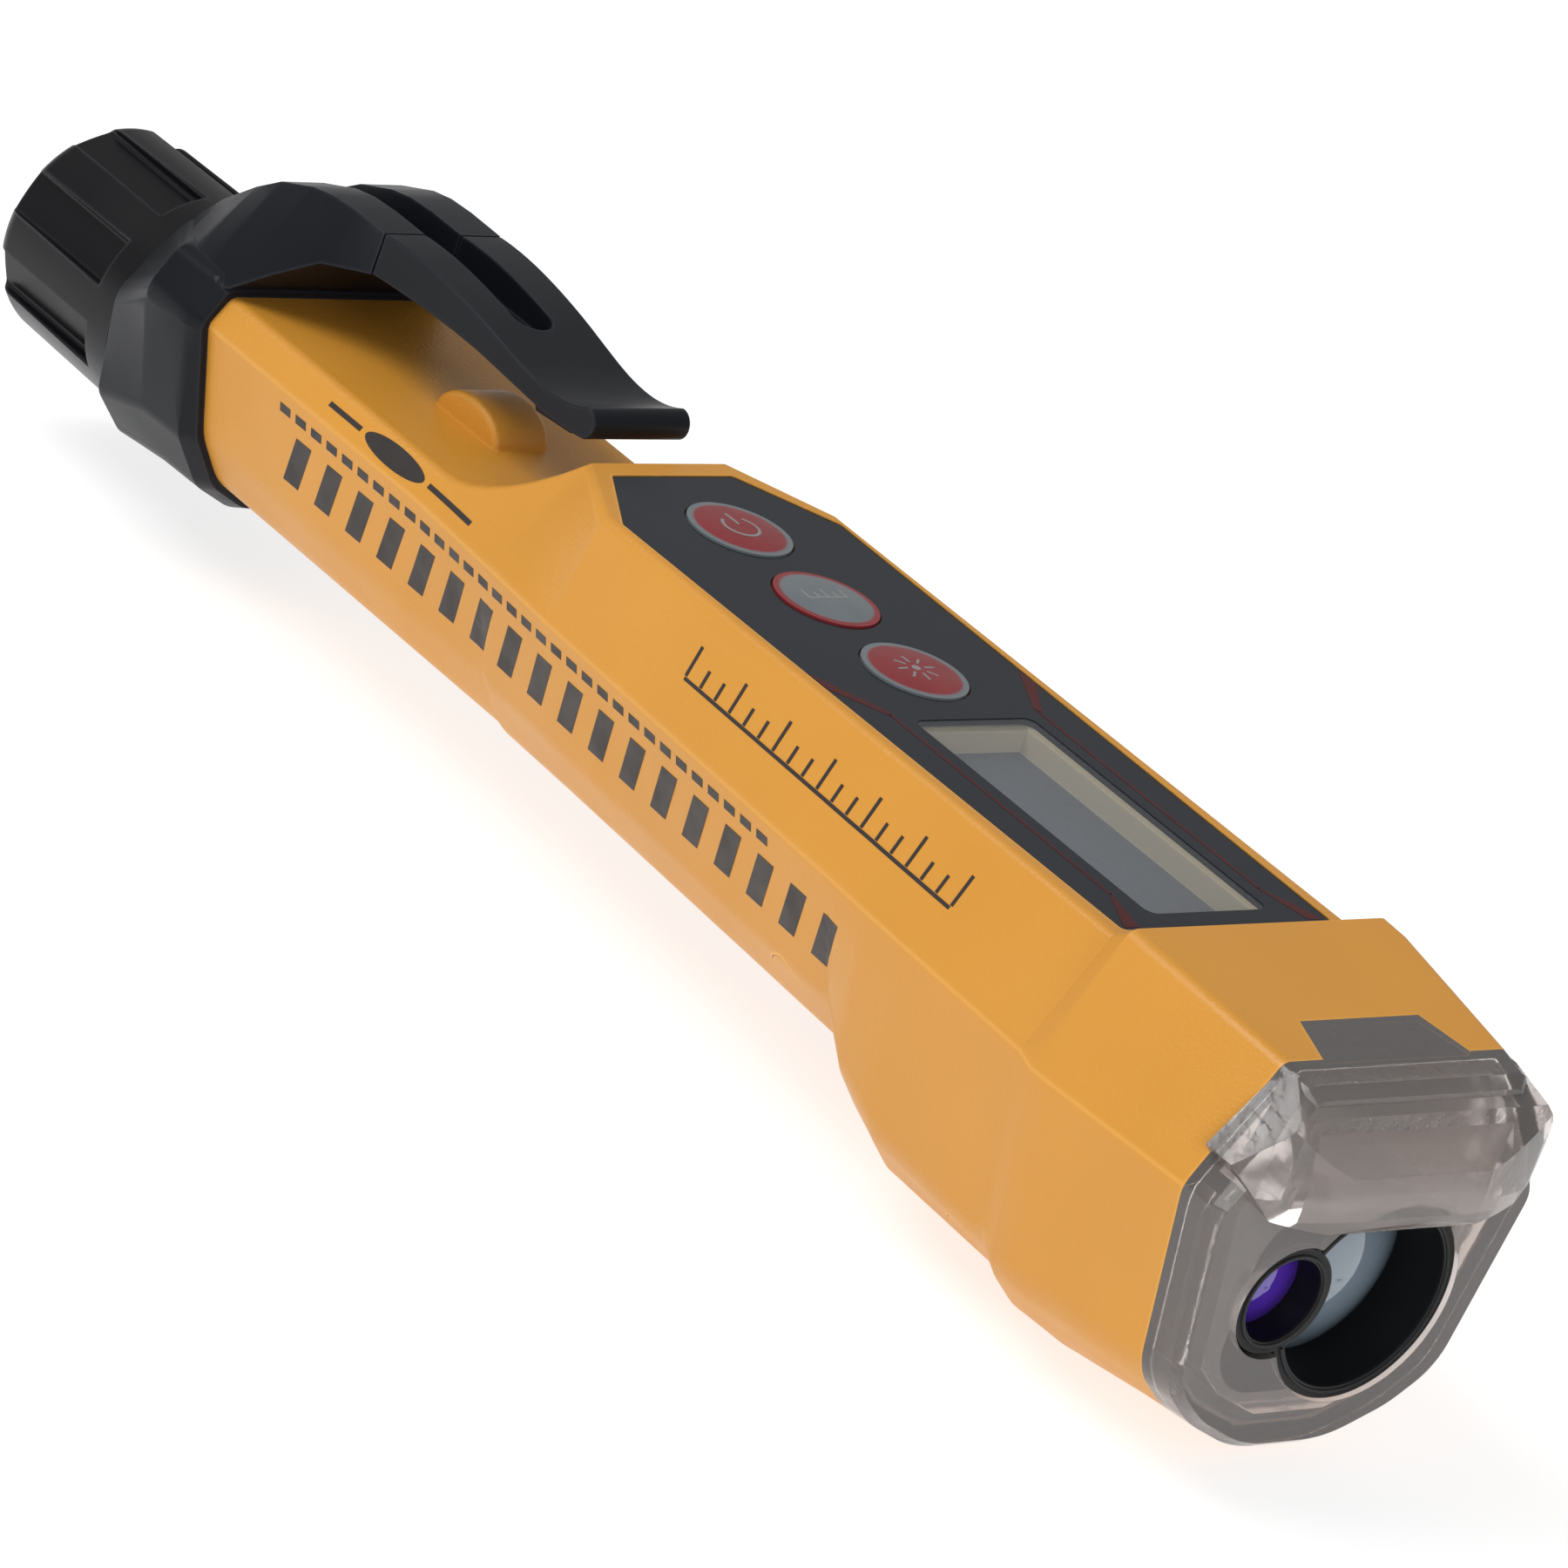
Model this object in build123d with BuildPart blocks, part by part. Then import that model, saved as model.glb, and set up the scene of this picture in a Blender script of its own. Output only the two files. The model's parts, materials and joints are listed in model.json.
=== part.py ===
"""Non contact voltage tester with a laser distance meter.

Frame: +Z up with the display on top, the clear tip towards -Y and the screw cap towards +Y.
The origin is under the middle of the tester, at the level of its lowest face. Millimetres.
"""

from build123d import *
import math
import os

os.makedirs("parts", exist_ok=True)

# ---------------------------------------------------------------- driving dimensions
tip_y = -89.0                  # foremost point of the visor
cap_end_y = 89.0               # rear face of the screw cap
panel_z = 35.0                 # display face
axis_z = 18.0                  # axis of the cells, the handle barrel and the cap
parting_z = 25.0               # plane where the two shells meet
wall = 1.8                     # shell wall
fit_gap = 0.1                  # gap between a moving piece and its guide
shell_rear_y = 70.0            # rear face of the shells
shell_front_y = -81.5          # front rim of the shells
cavity_rear_y = 67.0           # inner face of the shells' rear wall

cell_radius = 5.25             # AAA cell
cell_length = 44.5
nub_radius = 1.9
nub_length = 0.8
cells_front_y = -14.0          # tip of the front cell's nub

recess_depth = 0.7             # recess that holds the label panel
deck_z = panel_z - recess_depth
button_y = [1.75, -10.0, -21.75]
button_names = ["power_button", "unit_button", "laser_button"]
button_radius = 4.55
button_travel = 0.4
stem_radius = 3.2
board_z = 28.8                 # top face of the circuit board
board_thickness = 1.2
switch_height = 1.7

display_half_width = 6.4
display_rear_y = -29.3
display_front_y = -59.3

emitter_x, emitter_z = -5.8, 16.2
receiver_x, receiver_z = 3.2, 15.7
emitter_radius = 3.65
receiver_radius = 7.8
holder_front_y = -84.9
holder_rear_y = -66.0

neck_radius = 8.0              # screw neck of the battery tube
neck_rear_y = 80.0
neck_front_y = 65.0
tube_radius = 6.9
tube_bore = 5.5
tube_front_y = -17.5
cap_radius = 10.6
cap_front_y = 70.3
cap_floor_y = 85.5             # inner face of the cap's end wall

clip_split_y = 46.0            # where the arm meets the arch of the collar
clip_gap = 0.15


def across(y):
    """An upright plane across the tester at the given y, with X and Z as its axes."""
    return Plane.XZ.offset(-y)


def on_axis(y):
    """The same kind of plane, with its origin on the axis of the cells and the cap."""
    return Plane(origin=(0, y, axis_z), x_dir=(1, 0, 0), z_dir=(0, -1, 0))


def domed(rim, rise):
    """Arc of a lens face from its rim point to the axis at X = 0, bulging towards -Y."""
    ball = (rim.X ** 2 + rise ** 2) / (2 * rise)
    middle = rim.X / 2
    sag = ball - math.sqrt(ball ** 2 - middle ** 2)
    return ThreePointArc(rim, (middle, rim.Y - rise + sag), (0, rim.Y - rise))


def mirrored(half):
    """Close a right-hand half outline into a whole outline."""
    return half + [(-x, z) for x, z in reversed(half)]


# ---------------------------------------------------------------- form of the casing
# Each station is y, the right half of the outline from the top edge down to the bottom, and
# the corner radii in the same order.
barrel_half = [(5.6, 26.8), (10.4, 20.8), (9.0, 12.4), (5.6, 8.9), (2.0, 7.8)]
handle_half = [(11.3, 27.8), (12.9, 25.2), (9.5, 14.6), (6.3, 10.2), (2.4, 8.2)]
handle_radii = [1.2, 1.2, 8.0, 6.0, 6.0]
body_radii = [0.9, 1.6, 5.0, 6.0, 6.0]
head_radii = [1.2, 2.5, 6.0, 10.0, 11.0]
ramp_rear_y, ramp_front_y = 25.0, 13.0
ramp_count = 7
ramp_stations = []
for step in range(ramp_count):
    along = step / ramp_count
    rise = along ** 1.9
    top_x = handle_half[0][0] + (7.6 - handle_half[0][0]) * rise
    top_z = handle_half[0][1] + (panel_z - handle_half[0][1]) * rise
    side_x = handle_half[1][0] + (13.9 - handle_half[1][0]) * along
    ramp_half = [(top_x, top_z), (side_x, 25.15)] + handle_half[2:]
    ramp_stations.append((ramp_rear_y + (ramp_front_y - ramp_rear_y) * along, ramp_half, handle_radii))

casing_stations = [
    (shell_rear_y, barrel_half, [2.0, 3.0, 2.0, 2.0, 2.0]),
    (62.0, handle_half, handle_radii),
] + ramp_stations + [
    (13.0, [(7.6, panel_z), (13.9, 25.1), (9.9, 14.4), (6.7, 10.1), (2.5, 8.1)], body_radii),
    (4.0, [(12.7, panel_z), (14.6, 25.0), (10.4, 14.4), (7.0, 10.1), (2.7, 8.0)], body_radii),
    (-36.5, [(12.7, panel_z), (16.7, 25.0), (12.2, 13.9), (8.3, 9.6), (3.0, 7.2)], body_radii),
    (-41.0, [(12.7, panel_z), (17.0, 25.0), (13.4, 10.9), (9.4, 6.5), (4.0, 3.6)], body_radii),
    (-47.0, [(12.7, panel_z), (17.3, 25.0), (14.1, 8.6), (10.2, 4.8), (4.5, 1.9)], body_radii),
    (-62.0, [(12.7, panel_z), (18.0, 25.0), (14.5, 8.0), (10.4, 4.6), (4.5, 1.5)], body_radii),
    (-64.5, [(13.8, 36.9), (19.0, 25.0), (15.3, 7.3), (11.0, 3.5), (4.5, -0.1)], head_radii),
    (-67.0, [(13.8, 36.8), (18.9, 25.0), (15.2, 7.4), (10.9, 3.6), (4.5, -0.1)], head_radii),
    (shell_front_y, [(12.0, 35.4), (17.7, 25.0), (14.6, 8.6), (10.5, 5.1), (4.5, 2.4)], head_radii),
]
cavity_stations = [(cavity_rear_y, handle_half)] + [row[:2] for row in casing_stations[2:]]
rest_y = 33.0                  # bump under the clip's arm
rest_half_width = 3.0

with BuildPart() as casing_form:
    for y, half, radii in casing_stations:
        with BuildSketch(across(y)):
            with BuildLine():
                FilletPolyline(*mirrored(half), radius=radii + radii[::-1], close=True)
            make_face()
    loft(ruled=True)
    split(bisect_by=Plane.XY, keep=Keep.TOP)

with BuildPart() as casing_cavity:
    for y, half in cavity_stations:
        with BuildSketch(across(y)):
            with BuildLine():
                Polyline(*mirrored(half), close=True)
            make_face()
            offset(amount=-wall, kind=Kind.INTERSECTION)
    loft(ruled=True)

with BuildPart() as barrel_zone:
    with BuildSketch(on_axis(neck_front_y - 1.0)):
        Rectangle(40.0, 40.0)
        Circle(neck_radius + fit_gap, mode=Mode.SUBTRACT)
    extrude(amount=-(cavity_rear_y - neck_front_y + 1.0))

cavity = casing_cavity.part - barrel_zone.part

with BuildPart() as clip_rest:
    with BuildSketch(Plane.YZ):
        with Locations((rest_y, handle_half[0][1] - 0.1)):
            Ellipse(4.4, 2.7)
    extrude(amount=rest_half_width, both=True)
    fillet(clip_rest.edges().filter_by(GeomType.ELLIPSE), 0.6)

# ---------------------------------------------------------------- shells
screw_places = [(-11.0, -58.0), (11.0, -58.0), (-9.6, -30.0), (9.6, -30.0)]
screw_seat_z = 17.0
screw_shaft_radius = 1.0
screw_head_radius = 2.0
boss_radius = 2.3
pillar_places = [(-5.5, 7.0), (5.5, 7.0), (-5.5, -27.2), (5.5, -27.2), (-5.5, -62.0), (5.5, -62.0)]
panel_half = [(6.6, 11.0), (11.9, 2.6), (11.3, -61.6)]
panel_outline = mirrored(panel_half)

tab_outline = [(7.9, shell_front_y), (6.4, -76.8), (-6.4, -76.8), (-7.9, shell_front_y)]
tab_floor_z = 34.5

with BuildPart() as tip_tab:
    with BuildSketch(Plane.XY.offset(tab_floor_z)):
        with BuildLine():
            Polyline(*tab_outline, close=True)
        make_face()
    extrude(amount=5.0)
    add(casing_form.part, mode=Mode.INTERSECT)

with BuildPart() as upper_shell:
    add(casing_form.part)
    add(clip_rest.part)
    add(cavity, mode=Mode.SUBTRACT)
    add(tip_tab.part, mode=Mode.SUBTRACT)
    with BuildSketch(Plane.XY.offset(parting_z)):
        with Locations(*screw_places):
            Circle(boss_radius)
    extrude(amount=panel_z - wall - parting_z)
    with BuildSketch(Plane.XY.offset(board_z)):
        with Locations(*pillar_places):
            Circle(1.2)
    extrude(amount=panel_z - wall - board_z)
    with BuildSketch(Plane.XY.offset(deck_z)):
        with BuildLine():
            FilletPolyline(*panel_outline, radius=0.6, close=True)
        make_face()
    extrude(amount=recess_depth, mode=Mode.SUBTRACT)
    with BuildSketch(Plane.XY.offset(deck_z)):
        with Locations(*[(0, y) for y in button_y]):
            Circle(stem_radius + fit_gap)
        with Locations((0, (display_rear_y + display_front_y) / 2)):
            Rectangle(2 * display_half_width, display_rear_y - display_front_y)
    extrude(amount=-2 * wall, mode=Mode.SUBTRACT)
    with BuildSketch(Plane.XY.offset(parting_z)):
        with Locations(*screw_places):
            Circle(screw_shaft_radius)
    extrude(amount=5.5, mode=Mode.SUBTRACT)
    with BuildSketch(on_axis(neck_front_y - 1.0)):
        Circle(neck_radius + fit_gap)
    extrude(amount=-10.0, mode=Mode.SUBTRACT)
    split(bisect_by=Plane.XY.offset(parting_z), keep=Keep.TOP)
upper_shell.part.label = "upper_shell"
export_step(upper_shell.part, "parts/upper_shell.step")

with BuildPart() as screw_bosses:
    with BuildSketch(Plane.XY):
        with Locations(*screw_places):
            Circle(boss_radius + 0.6)
    extrude(amount=parting_z)
    add(casing_form.part, mode=Mode.INTERSECT)

saddle_ys = [-8.0, 18.0, 48.0]
with BuildPart() as saddles:
    for y in saddle_ys:
        with BuildSketch(across(y)):
            with Locations((0, 12.0)):
                Rectangle(26.0, 12.0)
        extrude(amount=-2.0)
    with BuildSketch(on_axis(-20.0)):
        Circle(tube_radius)
    extrude(amount=-90.0, mode=Mode.SUBTRACT)
    add(casing_form.part, mode=Mode.INTERSECT)

with BuildPart() as lower_shell:
    add(casing_form.part)
    add(cavity, mode=Mode.SUBTRACT)
    add(screw_bosses.part)
    add(saddles.part)
    with BuildSketch(Plane.XY):
        with Locations(*screw_places):
            Circle(screw_head_radius + 0.2)
    extrude(amount=screw_seat_z, mode=Mode.SUBTRACT)
    with BuildSketch(Plane.XY):
        with Locations(*screw_places):
            Circle(screw_shaft_radius + 0.2)
    extrude(amount=parting_z, mode=Mode.SUBTRACT)
    with BuildSketch(on_axis(neck_front_y - 1.0)):
        Circle(neck_radius + fit_gap)
    extrude(amount=-10.0, mode=Mode.SUBTRACT)
    split(bisect_by=Plane.XY.offset(parting_z), keep=Keep.BOTTOM)
lower_shell.part.label = "lower_shell"
export_step(lower_shell.part, "parts/lower_shell.step")

with BuildPart() as shell_screws:
    with BuildSketch(Plane.XY.offset(screw_seat_z)):
        with Locations(*screw_places):
            Circle(screw_head_radius)
    extrude(amount=-1.5)
    with BuildSketch(Plane.XY.offset(screw_seat_z)):
        with Locations(*screw_places):
            Circle(screw_shaft_radius)
    extrude(amount=13.0)
    with BuildSketch(Plane.XY.offset(screw_seat_z - 1.5)):
        with Locations(*screw_places):
            RectangleRounded(2.0, 0.5, 0.2)
            RectangleRounded(0.5, 2.0, 0.2)
    extrude(amount=0.8, mode=Mode.SUBTRACT)
shell_screws.part.label = "shell_screws"
export_step(shell_screws.part, "parts/shell_screws.step")

with BuildPart() as screw_covers:
    with BuildSketch(Plane.XY):
        with Locations(*screw_places):
            Circle(screw_head_radius + 0.15)
    extrude(amount=screw_seat_z - 1.7)
    add(casing_form.part, mode=Mode.INTERSECT)
screw_covers.part.label = "screw_covers"
export_step(screw_covers.part, "parts/screw_covers.step")

# ---------------------------------------------------------------- clear tip
tip_face_y = -85.3
tip_wall = 1.6
spigot_rear_y = -77.5
tip_halves = [
    (shell_front_y, [(12.0, 35.4), (17.7, 25.0), (14.6, 8.6), (10.5, 5.1), (4.5, 2.4)]),
    (-84.4, [(11.6, 35.0), (17.4, 24.8), (14.4, 8.8), (10.4, 5.4), (4.5, 2.7)]),
    (tip_face_y, [(10.8, 34.2), (16.6, 24.5), (13.8, 9.2), (10.0, 6.1), (4.3, 3.5)]),
]
visor_profile = [(-80.0, 35.3), (-83.0, 35.1), (-86.2, 33.2), (-88.3, 29.0), (tip_y, 25.2),
                 (-88.2, 24.2), (-85.0, 25.6), (-80.0, 25.6)]

with BuildPart() as visor:
    with BuildSketch(Plane.YZ):
        with BuildLine():
            Polyline(*visor_profile, close=True)
        make_face()
    extrude(amount=20.0, both=True)
    with BuildSketch(Plane.XY):
        with BuildLine():
            Polyline((-17.3, -80.0), (-17.3, -84.3), (-14.5, -86.3))
            ThreePointArc((-14.5, -86.3), (0, tip_y), (14.5, -86.3))
            Polyline((14.5, -86.3), (17.3, -84.3), (17.3, -80.0), (-17.3, -80.0))
        make_face()
    extrude(amount=40.0, mode=Mode.INTERSECT)
    with BuildSketch(across(tip_y - 1)):
        with BuildLine():
            Polyline((-17.0, 28.6), (-11.7, 35.2), (11.7, 35.2), (17.0, 28.6), (12.6, 24.2),
                     (-12.6, 24.2), close=True)
        make_face()
    extrude(amount=-12.0, mode=Mode.INTERSECT)
    with BuildSketch(Plane.YZ):
        with BuildLine():
            Polyline((-87.0, 20.0), (-86.7, 27.8), (-85.2, 31.6), (-82.6, 33.2), (-80.0, 33.2),
                     (-80.0, 20.0), close=True)
        make_face()
    extrude(amount=10.5, both=True, mode=Mode.SUBTRACT)
    split(bisect_by=Plane.XZ.offset(-shell_front_y), keep=Keep.TOP)

with BuildPart() as clear_tip:
    for y, half in tip_halves:
        with BuildSketch(across(y)):
            with BuildLine():
                FilletPolyline(*mirrored(half), radius=head_radii + head_radii[::-1], close=True)
            make_face()
    loft(ruled=True)
    with BuildSketch(across(shell_front_y)):
        with BuildLine():
            FilletPolyline(*mirrored(tip_halves[0][1]), radius=head_radii + head_radii[::-1],
                           close=True)
        make_face()
        offset(amount=-wall - 0.25, kind=Kind.INTERSECTION)
    extrude(amount=-(spigot_rear_y - shell_front_y))
    with BuildSketch(across(tip_face_y + tip_wall)):
        with BuildLine():
            Polyline(*mirrored(tip_halves[0][1]), close=True)
        make_face()
        offset(amount=-wall - tip_wall, kind=Kind.INTERSECTION)
    extrude(amount=-8.0, mode=Mode.SUBTRACT)
    add(visor.part)
    add(tip_tab.part)
    with BuildSketch(across(tip_face_y - 1)):
        with Locations((emitter_x, emitter_z)):
            Circle(4.9)
        with Locations((receiver_x, receiver_z)):
            Circle(8.9)
    extrude(amount=-4.0, mode=Mode.SUBTRACT)
clear_tip.part.label = "clear_tip"
export_step(clear_tip.part, "parts/clear_tip.step")

# ---------------------------------------------------------------- optics
eye_ring = 1.0                 # rim round each eye
with BuildPart() as lens_holder:
    with BuildSketch(across(holder_front_y)):
        with Locations((emitter_x, emitter_z)):
            Circle(emitter_radius + eye_ring)
        with Locations((receiver_x, receiver_z)):
            Circle(receiver_radius + eye_ring)
    extrude(amount=-(holder_rear_y - holder_front_y))
    with BuildSketch(across(tip_face_y + tip_wall)):
        with Locations((0.4, 16.0)):
            RectangleRounded(21.0, 16.4, 5.0)
    extrude(amount=-2.0)
    with BuildSketch(across(holder_front_y)):
        with Locations((receiver_x, receiver_z)):
            Circle(receiver_radius)
        with Locations((emitter_x, emitter_z)):
            Circle(emitter_radius + eye_ring, mode=Mode.SUBTRACT)
    extrude(amount=-(holder_rear_y - 1.5 - holder_front_y), mode=Mode.SUBTRACT)
    with BuildSketch(across(holder_front_y)):
        with Locations((emitter_x, emitter_z)):
            Circle(emitter_radius)
    extrude(amount=-4.0, mode=Mode.SUBTRACT)
    with BuildSketch(across(holder_front_y + 4.0)):
        with Locations((emitter_x, emitter_z)):
            Circle(2.8)
    extrude(amount=-20.0, mode=Mode.SUBTRACT)
    with BuildSketch(across(holder_rear_y - 2.0)):
        with Locations((receiver_x, receiver_z)):
            Circle(2.6)
    extrude(amount=-4.0, mode=Mode.SUBTRACT)
lens_holder.part.label = "lens_holder"
export_step(lens_holder.part, "parts/lens_holder.step")

with BuildPart() as emitter_lens:
    with BuildSketch(Plane.XY):
        with BuildLine():
            emitter_rim = Line((0, 0), (emitter_radius, 0))
            emitter_edge = Line(emitter_rim @ 1, (emitter_radius, -1.2))
            emitter_face = domed(emitter_edge @ 1, 0.75)
            Line(emitter_face @ 1, emitter_rim @ 0)
        make_face()
    revolve(axis=Axis.Y)
emitter_lens_solid = Pos(emitter_x, holder_front_y + 4.0, emitter_z) * emitter_lens.part
emitter_lens_solid.label = "emitter_lens"
export_step(emitter_lens_solid, "parts/emitter_lens.step")

receiver_lens_y = holder_front_y + 6.5
with BuildPart() as receiver_lens:
    with BuildSketch(Plane.XY):
        with BuildLine():
            lens_back = Line((0, 0), (receiver_radius, 0))
            lens_edge = Line(lens_back @ 1, (receiver_radius, -1.0))
            lens_face = domed(lens_edge @ 1, 2.5)
            Line(lens_face @ 1, lens_back @ 0)
        make_face()
    revolve(axis=Axis.Y)
    with BuildSketch(Plane.XZ.offset(5.0)):
        with Locations((emitter_x - receiver_x, emitter_z - receiver_z)):
            Circle(emitter_radius + eye_ring)
    extrude(amount=-10.0, mode=Mode.SUBTRACT)
receiver_lens_solid = Pos(receiver_x, receiver_lens_y, receiver_z) * receiver_lens.part
receiver_lens_solid.label = "receiver_lens"
export_step(receiver_lens_solid, "parts/receiver_lens.step")

with BuildPart() as laser_diode:
    with BuildSketch(across(holder_rear_y - 3.0)):
        with Locations((emitter_x, emitter_z)):
            Circle(2.3)
    extrude(amount=-3.0)
    with BuildSketch(across(holder_rear_y)):
        with Locations((emitter_x, emitter_z)):
            Circle(2.8)
    extrude(amount=-1.2)
    with BuildSketch(across(holder_rear_y + 1.2)):
        with Locations((emitter_x - 1.3, emitter_z), (emitter_x + 1.3, emitter_z)):
            Circle(0.25)
    extrude(amount=-3.5)
laser_diode.part.label = "laser_diode"
export_step(laser_diode.part, "parts/laser_diode.step")

with BuildPart() as receiver_sensor:
    with BuildSketch(across(holder_rear_y - 1.5)):
        with Locations((receiver_x, receiver_z)):
            Circle(2.4)
    extrude(amount=-1.5)
    with BuildSketch(across(holder_rear_y)):
        with Locations((receiver_x, receiver_z)):
            Circle(4.0)
    extrude(amount=-1.5)
    with BuildSketch(across(holder_rear_y + 1.5)):
        with Locations((receiver_x - 1.5, receiver_z), (receiver_x + 1.5, receiver_z)):
            Circle(0.25)
    extrude(amount=-3.0)
receiver_sensor.part.label = "receiver_sensor"
export_step(receiver_sensor.part, "parts/receiver_sensor.step")

with BuildPart() as sensing_antenna:
    with BuildSketch(Plane.YZ):
        with BuildLine():
            Polyline((-66.0, 28.9), (-70.0, 28.9), (-71.5, 31.2), (-83.0, 31.2), (-83.0, 31.6),
                     (-71.7, 31.6), (-70.2, 29.3), (-66.0, 29.3), close=True)
        make_face()
    extrude(amount=4.0, both=True)
sensing_antenna.part.label = "sensing_antenna"
export_step(sensing_antenna.part, "parts/sensing_antenna.step")

with BuildPart() as tip_light:
    with BuildSketch(across(-66.2)):
        with Locations((-9.5, 28.6)):
            Circle(1.5)
    extrude(amount=9.0)
    fillet(tip_light.faces().sort_by(Axis.Y)[0].edges(), 1.2)
    with BuildSketch(across(-66.2)):
        with Locations((-9.5, 28.6)):
            Circle(1.9)
    extrude(amount=-1.0)
tip_light.part.label = "tip_light"
export_step(tip_light.part, "parts/tip_light.step")

# ---------------------------------------------------------------- panel, display, buttons
with BuildPart() as label_panel:
    with BuildSketch(Plane.XY.offset(deck_z)):
        with BuildLine():
            FilletPolyline(*panel_outline, radius=0.6, close=True)
        make_face()
        offset(amount=-0.05, kind=Kind.INTERSECTION)
        with Locations(*[(0, y) for y in button_y]):
            Circle(button_radius + 0.15, mode=Mode.SUBTRACT)
        with Locations((0, (display_rear_y + display_front_y) / 2)):
            RectangleRounded(2 * display_half_width, display_rear_y - display_front_y, 1.0,
                             mode=Mode.SUBTRACT)
    extrude(amount=recess_depth - 0.1)
label_panel.part.label = "label_panel"
export_step(label_panel.part, "parts/label_panel.step")

with BuildPart() as display_window:
    with BuildSketch(Plane.XY.offset(deck_z)):
        with Locations((0, (display_rear_y + display_front_y) / 2)):
            RectangleRounded(2 * display_half_width, display_rear_y - display_front_y, 1.0)
    extrude(amount=recess_depth - 0.2)
display_window.part.label = "display_window"
export_step(display_window.part, "parts/display_window.step")

frame_border = 0.9
with BuildPart() as display_frame:
    with BuildSketch(Plane.XY.offset(deck_z - 2.0)):
        with Locations((0, (display_rear_y + display_front_y) / 2)):
            Rectangle(2 * display_half_width, display_rear_y - display_front_y)
            Rectangle(2 * (display_half_width - frame_border),
                      display_rear_y - display_front_y - 2 * frame_border, mode=Mode.SUBTRACT)
    extrude(amount=2.0)
display_frame.part.label = "display_frame"
export_step(display_frame.part, "parts/display_frame.step")

with BuildPart() as display_glass:
    with BuildSketch(Plane.XY.offset(deck_z - 2.0)):
        with Locations((0, (display_rear_y + display_front_y) / 2)):
            Rectangle(2 * display_half_width, display_rear_y - display_front_y)
    extrude(amount=-1.9)
display_glass.part.label = "display_glass"
export_step(display_glass.part, "parts/display_glass.step")

with BuildPart() as display_connector:
    with BuildSketch(Plane.XY.offset(board_z)):
        with Locations((0, display_rear_y - 2.0)):
            Rectangle(11.0, 1.8)
    extrude(amount=deck_z - 3.9 - board_z)
display_connector.part.label = "display_connector"
export_step(display_connector.part, "parts/display_connector.step")

button_bottom_z = deck_z + button_travel + 0.05
dome_height = 0.3
for name, y in zip(button_names, button_y):
    with BuildPart() as button:
        with BuildSketch(Plane.XY.offset(button_bottom_z)):
            with Locations((0, y)):
                Circle(button_radius)
        extrude(amount=panel_z + 0.05 - button_bottom_z)
        with BuildSketch(Plane.XY.offset(board_z + switch_height + button_travel + 0.05)):
            with Locations((0, y)):
                Circle(stem_radius)
        extrude(amount=button_bottom_z - board_z - switch_height - button_travel - 0.05)
        with BuildSketch(Plane.YZ):
            with BuildLine():
                crown = ThreePointArc((y, panel_z + dome_height), (y + 2.6, panel_z + dome_height - 0.07),
                                      (y + button_radius - 0.3, panel_z + 0.05))
                Line(crown @ 1, (y, panel_z + 0.05))
                Line((y, panel_z + 0.05), crown @ 0)
            make_face()
        revolve(axis=Axis((0, y, 0), (0, 0, 1)))
    button.part.label = name
    export_step(button.part, f"parts/{name}.step")

# ---------------------------------------------------------------- board
board_half_width = 7.0
with BuildPart() as main_board:
    with BuildSketch(Plane.XY.offset(board_z)):
        with BuildLine():
            Polyline((-board_half_width, -64.5), (board_half_width, -64.5), (board_half_width, 6.0),
                     (4.5, 9.0), (-4.5, 9.0), (-board_half_width, 6.0), close=True)
        make_face()
    extrude(amount=-board_thickness)
    with BuildSketch(Plane.XY.offset(board_z - board_thickness)):
        with Locations((0, -50.0)):
            Rectangle(7.0, 7.0)
        with Locations((-2.0, -37.0)):
            Rectangle(5.0, 6.0)
    extrude(amount=-1.0)
main_board.part.label = "main_board"
export_step(main_board.part, "parts/main_board.step")

with BuildPart() as tactile_switches:
    with BuildSketch(Plane.XY.offset(board_z)):
        with Locations(*[(0, y) for y in button_y]):
            Rectangle(6.0, 6.0)
    extrude(amount=switch_height - 0.5)
    with BuildSketch(Plane.XY.offset(board_z + switch_height - 0.5)):
        with Locations(*[(0, y) for y in button_y]):
            Circle(1.6)
    extrude(amount=0.5)
tactile_switches.part.label = "tactile_switches"
export_step(tactile_switches.part, "parts/tactile_switches.step")

buzzer_y = -52.0
buzzer_z = 5.2
with BuildPart() as buzzer:
    with BuildSketch(Plane.XY.offset(buzzer_z)):
        with Locations((0, buzzer_y)):
            Circle(6.0)
            Circle(0.9, mode=Mode.SUBTRACT)
    extrude(amount=4.5)
    with BuildSketch(Plane.XY.offset(buzzer_z)):
        with Locations((0, buzzer_y)):
            Circle(3.6)
            Circle(2.6, mode=Mode.SUBTRACT)
    extrude(amount=-1.2)
buzzer.part.label = "buzzer"
export_step(buzzer.part, "parts/buzzer.step")

# ---------------------------------------------------------------- battery tube and cells
with BuildPart() as battery_tube:
    with BuildSketch(on_axis(tube_front_y)):
        Circle(tube_radius)
    extrude(amount=-(neck_front_y - tube_front_y))
    with BuildSketch(on_axis(neck_front_y)):
        Circle(neck_radius)
    extrude(amount=-(neck_rear_y - neck_front_y))
    chamfer(battery_tube.faces().sort_by(Axis.Y)[-1].edges(), 0.6)
    with BuildSketch(on_axis(tube_front_y + 1.5)):
        Circle(tube_bore)
    extrude(amount=-110.0, mode=Mode.SUBTRACT)
    with BuildSketch(across(tube_front_y)):
        with Locations((0, axis_z + 3.0)):
            Rectangle(3.0, 3.0)
    extrude(amount=-1.5, mode=Mode.SUBTRACT)
battery_tube.part.label = "battery_tube"
export_step(battery_tube.part, "parts/battery_tube.step")

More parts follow.
